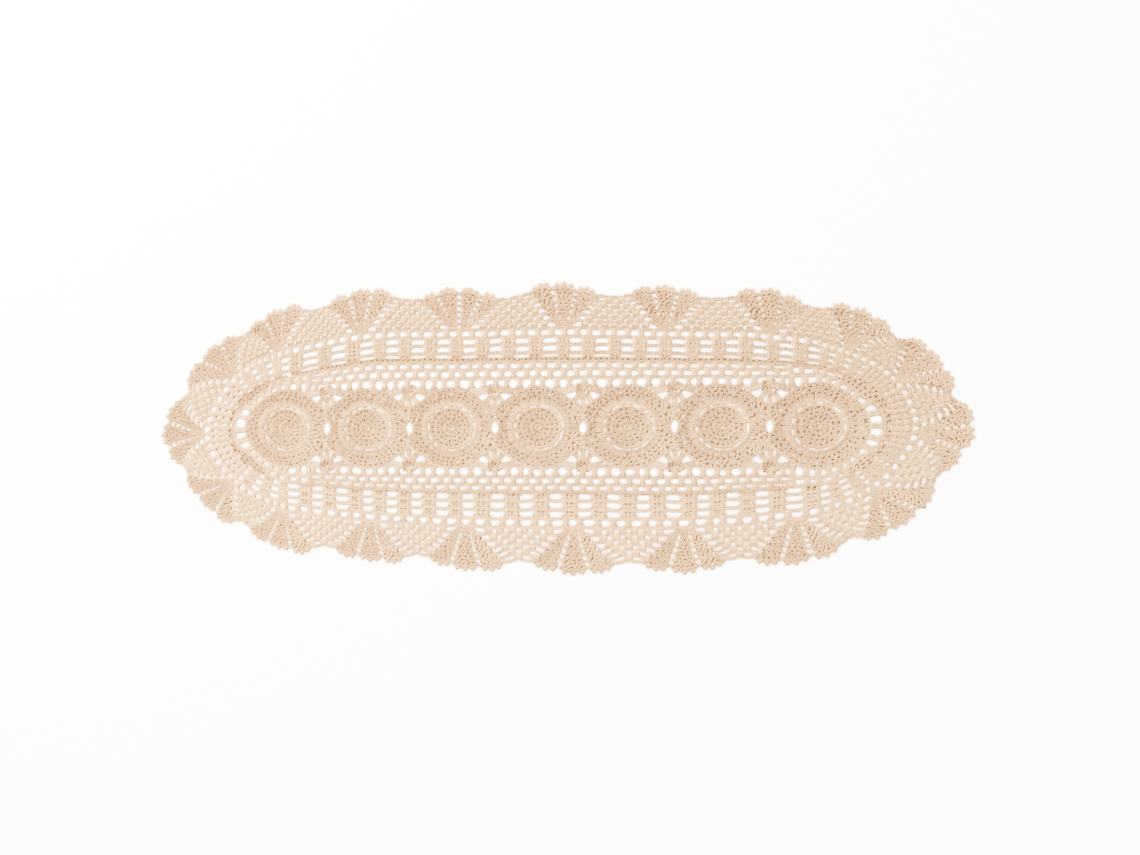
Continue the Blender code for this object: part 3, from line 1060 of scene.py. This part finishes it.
def work_valley(work, index):
    """Mesh between one fan and the next."""
    fan = FANS[index]
    following = FANS[(index + 1) % len(FANS)]
    spread = (fan.loops + following.loops) / 2
    on_side = from_tip(FAN_TURNS[index] + spread / 2) > 85.0
    for rounds in range(1, FAN_ROUNDS + 1):
        start = FAN_TURNS[index] + lobe_edges(LOBES[fan.lobes][-1], rounds)[1]
        end = FAN_TURNS[index] + spread + lobe_edges(LOBES[following.lobes][0], rounds)[0]
        holes = max(2, round(spread) + 1 - rounds)
        pitch = (end - start) / holes
        for k in range(holes):
            left = start + k * pitch
            bowed = [valley_point(index, left + pitch * s / 6, rounds,
                                  VALLEY_BOW * (s / 6) * (1 - s / 6) * 4) for s in range(7)]
            work.chain(bowed, width=0.0048 if on_side else 0.0046)
            if k:
                for aside in (-VALLEY_KNOT_LEAN, VALLEY_KNOT_LEAN):
                    work.lay("knot", valley_point(index, left + aside * 0.8, rounds - 1, 0.0004),
                             valley_point(index, left + aside * 1.2, rounds, 0.0004),
                             0.0050, shade_back=1.0)


# Materials and stage


# Yarn: the height below which it is fully painted in its shade colour and the height
# above which no shade is painted, turns of the plies in a metre, and the sizes of its
# fuzz, its patches and its painted shadow pits
SHADED_BELOW = 0.0003
LIT_ABOVE = 0.0017
TWIST = 420.0
FUZZ_SCALE = 2600.0
PATCH_SCALE = 55.0
SHADOW_PIT_SCALE = 430.0

# Floor: how near yarn has to be to cast painted shadow on it, and its glow and colour
# right beside yarn: painted shadow, tinted warm as light bounced off the yarn
SHADOW_REACH = 0.0034
SHADOWED_GLOW = (1.0, 0.50, 0.16)
SHADOWED_FLOOR_COLOUR = (0.85, 0.50, 0.24)


def yarn_group():
    """Shader group: the twist of the plies, their fuzz, and painted shade, darker the lower the
    yarn lies.
    """
    known = bpy.data.node_groups.get("Yarn Surface")
    if known:
        return known
    group = bpy.data.node_groups.new("Yarn Surface", "ShaderNodeTree")
    for name, kind in (("Colour", "NodeSocketColor"), ("Shade Colour", "NodeSocketColor")):
        group.interface.new_socket(name, in_out="INPUT", socket_type=kind)
    for name, kind in (
        ("Colour", "NodeSocketColor"), ("Height", "NodeSocketFloat"),
        ("Roughness", "NodeSocketFloat"),
    ):
        group.interface.new_socket(name, in_out="OUTPUT", socket_type=kind)
    nodes = group.nodes
    links = group.links
    inputs = nodes.new("NodeGroupInput")
    outputs = nodes.new("NodeGroupOutput")
    place = nodes.new("ShaderNodeTexCoord")

    def value(operation, first, second):
        node = nodes.new("ShaderNodeMath")
        node.operation = operation
        for socket, given in zip(node.inputs, (first, second)):
            if isinstance(given, (int, float)):
                socket.default_value = given
            else:
                links.new(given, socket)
        return node.outputs[0]

    def noise(scale, detail):
        node = nodes.new("ShaderNodeTexNoise")
        node.inputs["Scale"].default_value = scale
        node.inputs["Detail"].default_value = detail
        links.new(place.outputs["Object"], node.inputs["Vector"])
        return node.outputs["Fac"]

    def smooth_step(given, start, end, top=1.0):
        node = nodes.new("ShaderNodeMapRange")
        node.interpolation_type = "SMOOTHSTEP"
        node.inputs["From Min"].default_value = start
        node.inputs["From Max"].default_value = end
        node.inputs["To Max"].default_value = top
        links.new(given, node.inputs["Value"])
        return node.outputs["Result"]

    strand = nodes.new("ShaderNodeSeparateXYZ")
    links.new(place.outputs["UV"], strand.inputs[0])
    twisted = value("ADD", strand.outputs["X"], value("MULTIPLY", strand.outputs["Y"], TWIST))
    plies = value("SINE", value("MULTIPLY", twisted, 4 * pi), 0.0)
    fuzz = noise(FUZZ_SCALE, 2.0)
    height = value("ADD", value("MULTIPLY", plies, 0.5), fuzz)
    links.new(height, outputs.inputs["Height"])

    # Painted shade: the lower the yarn lies, the more it turns to its shade colour.
    spot = nodes.new("ShaderNodeSeparateXYZ")
    links.new(place.outputs["Object"], spot.inputs[0])
    lit_by_height = smooth_step(spot.outputs["Z"], SHADED_BELOW, LIT_ABOVE)
    tone = nodes.new("ShaderNodeAttribute")
    tone.attribute_name = "tone"
    # Painted shadow: noise specks darken the yarn towards its shade colour, as shadow between
    # the plies. The tone of each stitch and the large patches are the yarn's own.
    shadow_pit = smooth_step(noise(SHADOW_PIT_SCALE, 1.0), 0.56, 0.70, 0.40)
    shade = value("ADD", value("MULTIPLY", tone.outputs["Fac"], 0.20),
                  value("MULTIPLY", noise(PATCH_SCALE, 3.0), 0.16))
    shade = value("SUBTRACT", value("ADD", shade, shadow_pit), 0.18)
    mixed = nodes.new("ShaderNodeMix")
    mixed.data_type = "RGBA"
    links.new(value("SUBTRACT", lit_by_height, shade), mixed.inputs["Factor"])
    links.new(inputs.outputs["Shade Colour"], mixed.inputs["A"])
    links.new(inputs.outputs["Colour"], mixed.inputs["B"])
    links.new(mixed.outputs["Result"], outputs.inputs["Colour"])
    links.new(value("ADD", value("MULTIPLY", fuzz, 0.12), 0.80), outputs.inputs["Roughness"])
    return group


def yarn_material(yarn):
    """Matt beige cotton."""
    known = bpy.data.materials.get("cotton yarn")
    if known:
        return known
    material = bpy.data.materials.new("cotton yarn")
    material.use_nodes = True
    nodes = material.node_tree.nodes
    links = material.node_tree.links
    shader = nodes["Principled BSDF"]
    surface = nodes.new("ShaderNodeGroup")
    surface.node_tree = yarn_group()
    surface.inputs["Colour"].default_value = (*yarn.colour, 1.0)
    # The shade colour is painted shade for yarn that lies low.
    surface.inputs["Shade Colour"].default_value = (*yarn.shade_colour, 1.0)
    links.new(surface.outputs["Colour"], shader.inputs["Base Color"])
    links.new(surface.outputs["Roughness"], shader.inputs["Roughness"])
    relief = nodes.new("ShaderNodeBump")
    relief.inputs["Strength"].default_value = 0.5
    relief.inputs["Distance"].default_value = 0.0001
    links.new(surface.outputs["Height"], relief.inputs["Height"])
    links.new(relief.outputs["Normal"], shader.inputs["Normal"])
    shader.inputs["Sheen Weight"].default_value = 0.08
    shader.inputs["Sheen Roughness"].default_value = 0.6
    shader.inputs["Specular IOR Level"].default_value = 0.25
    return material


def floor_material(colour, glow):
    """Plain pale floor that glows as if lit from below, with painted shadow tinted warm as
    bounced light where yarn is close.
    """
    material = bpy.data.materials.new("pale floor")
    material.use_nodes = True
    nodes = material.node_tree.nodes
    links = material.node_tree.links
    shader = nodes["Principled BSDF"]
    shader.inputs["Roughness"].default_value = 0.9
    seen = nodes.new("ShaderNodeLightPath")
    near = nodes.new("ShaderNodeAmbientOcclusion")
    near.samples = 8
    near.inputs["Distance"].default_value = SHADOW_REACH

    def combine(operation, first, second):
        node = nodes.new("ShaderNodeMath")
        node.operation = operation
        links.new(first, node.inputs[0])
        if isinstance(second, float):
            node.inputs[1].default_value = second
        else:
            links.new(second, node.inputs[1])
        return node.outputs[0]

    # Painted shadow: the glow, seen only by the camera, fades where yarn is close.
    shown = combine("MULTIPLY", seen.outputs["Is Camera Ray"], near.outputs["AO"])
    links.new(combine("MULTIPLY", shown, glow), shader.inputs["Emission Strength"])
    # Painted shadow and painted warm bounce light: near yarn the glow and the floor's colour
    # turn warm and dark.
    unshadowed = combine("POWER", near.outputs["AO"], 2.2)
    tints = (
        ("Emission Color", SHADOWED_GLOW, (1.0, 1.0, 1.0)),
        ("Base Color", SHADOWED_FLOOR_COLOUR, colour),
    )
    for socket, shadowed, open_colour in tints:
        tint = nodes.new("ShaderNodeMix")
        tint.data_type = "RGBA"
        tint.inputs["A"].default_value = (*shadowed, 1.0)
        tint.inputs["B"].default_value = (*open_colour, 1.0)
        links.new(unshadowed, tint.inputs["Factor"])
        links.new(tint.outputs["Result"], shader.inputs[socket])
    return material


class RUNNER_OT_round_motifs(Operator):
    """Work the seven round motifs"""

    bl_idname = "runner.round_motifs"
    bl_label = "Round Motifs"

    def execute(self, context):
        for place in range(MOTIF_COUNT):
            node = f"medallion_{place + 1}"
            stitches, shade_backs = add_work(context, node, work_motif(place), [node], 10 + place)
        return {"FINISHED"}


class RUNNER_OT_small_motifs(Operator):
    """Work the twelve small motifs between the round ones"""

    bl_idname = "runner.small_motifs"
    bl_label = "Small Motifs"

    def execute(self, context):
        for place in range(MOTIF_COUNT - 1):
            joint = MOTIF_PITCH * (place + 1 - MOTIF_COUNT / 2)
            for word, side in (("top", 1), ("bottom", -1)):
                node = f"filler_{word}_{place + 1}"
                work = work_small_motif(joint, side)
                stitches, shade_backs = add_work(context, node, work, [node], 40 + 2 * place + side)
        return {"FINISHED"}


class RUNNER_OT_border(Operator):
    """Work the border round all the motifs"""

    bl_idname = "runner.border"
    bl_label = "Border"

    def execute(self, context):
        yarn = settings(context).yarn
        parts = {"net": work_net(), "blocks": work_blocks()}
        groups = (range(0, 5), range(5, 10), range(10, 15), range(15, 19))
        for number, fans in enumerate(groups, 1):
            work = Work()
            for index in fans:
                work_lobes(work, index)
                work_valley(work, index)
            parts[f"fans_{number}"] = work
        whole = Work()
        for seed, (word, work) in enumerate(parts.items()):
            name = "border_" + word
            mesh = join_stitches(name, work, yarn, 90 + seed)
            add_piece(context, name, mesh, ["border"])
            whole.shade_backs += work.shade_backs
        # All dark strips of painted shade of the border in one mesh.
        shade_backs = add_piece(context, "border_backs",
                          join_shade_backs("border_backs", whole, yarn, 99), ["border"])
        return {"FINISHED"}


class RUNNER_OT_stage(Operator):
    """Set up the floor, the lights and the camera"""

    bl_idname = "runner.stage"
    bl_label = "Stage"

    def execute(self, context):
        stage = settings(context).stage
        mesh = bpy.data.meshes.new("floor")
        bm = bmesh.new()
        bmesh.ops.create_grid(bm, x_segments=1, y_segments=1, size=stage.floor_size / 2)
        bm.to_mesh(mesh)
        bm.free()
        mesh.materials.append(floor_material(stage.floor_colour, stage.floor_glow))
        floor = bpy.data.objects.new("floor", mesh)
        context.collection.objects.link(floor)

        world = bpy.data.worlds.new("studio")
        world.use_nodes = True
        background = world.node_tree.nodes["Background"]
        background.inputs["Color"].default_value = (*stage.light_colour, 1.0)
        background.inputs["Strength"].default_value = stage.daylight
        context.scene.world = world

        light = bpy.data.lights.new("window", "AREA")
        light.shape = "RECTANGLE"
        light.size = 1.6
        light.size_y = 1.0
        light.energy = stage.window_power
        light.color = stage.light_colour
        window = bpy.data.objects.new("window", light)
        window.location = (-0.9, 1.1, 1.2)
        aim = Vector((0.0, 0.0, 0.0)) - window.location
        window.rotation_euler = aim.to_track_quat("-Z", "Y").to_euler()
        context.collection.objects.link(window)

        lens = bpy.data.cameras.new("photo view")
        lens.sensor_fit = "HORIZONTAL"
        lens.sensor_width = 36.0
        lens.lens = stage.lens
        lens.clip_start = 0.01
        camera = bpy.data.objects.new("photo view", lens)
        camera.location = stage.camera_place
        camera.rotation_euler = stage.camera_turn
        context.collection.objects.link(camera)
        context.scene.camera = camera
        return {"FINISHED"}


class RUNNER_PT_panel(Panel):
    """Sizes, colours and steps of the runner"""

    bl_label = "Crochet Table Runner"
    bl_idname = "RUNNER_PT_panel"
    bl_space_type = "VIEW_3D"
    bl_region_type = "UI"
    bl_category = "Runner"

    def draw(self, context):
        layout = self.layout
        for title, group in (("Yarn", "yarn"), ("Stage", "stage")):
            box = layout.box()
            box.label(text=title)
            values = getattr(settings(context), group)
            for name in type(values).__annotations__:
                box.prop(values, name)
        for operator in STEPS:
            layout.operator(operator.bl_idname)


STEPS = (
    RUNNER_OT_round_motifs,
    RUNNER_OT_small_motifs,
    RUNNER_OT_border,
    RUNNER_OT_stage,
)
CLASSES = (RunnerYarn, RunnerStage, RunnerSettings) + STEPS + (RUNNER_PT_panel,)


def register():
    for cls in CLASSES:
        bpy.utils.register_class(cls)
    setattr(bpy.types.Scene, SETTINGS_PATH, PointerProperty(type=RunnerSettings))


def unregister():
    delattr(bpy.types.Scene, SETTINGS_PATH)
    for cls in reversed(CLASSES):
        bpy.utils.unregister_class(cls)


def main():
    register()
    bpy.ops.runner.stage()
    bpy.ops.runner.round_motifs()
    bpy.ops.runner.small_motifs()
    bpy.ops.runner.border()


if __name__ == "__main__":
    main()
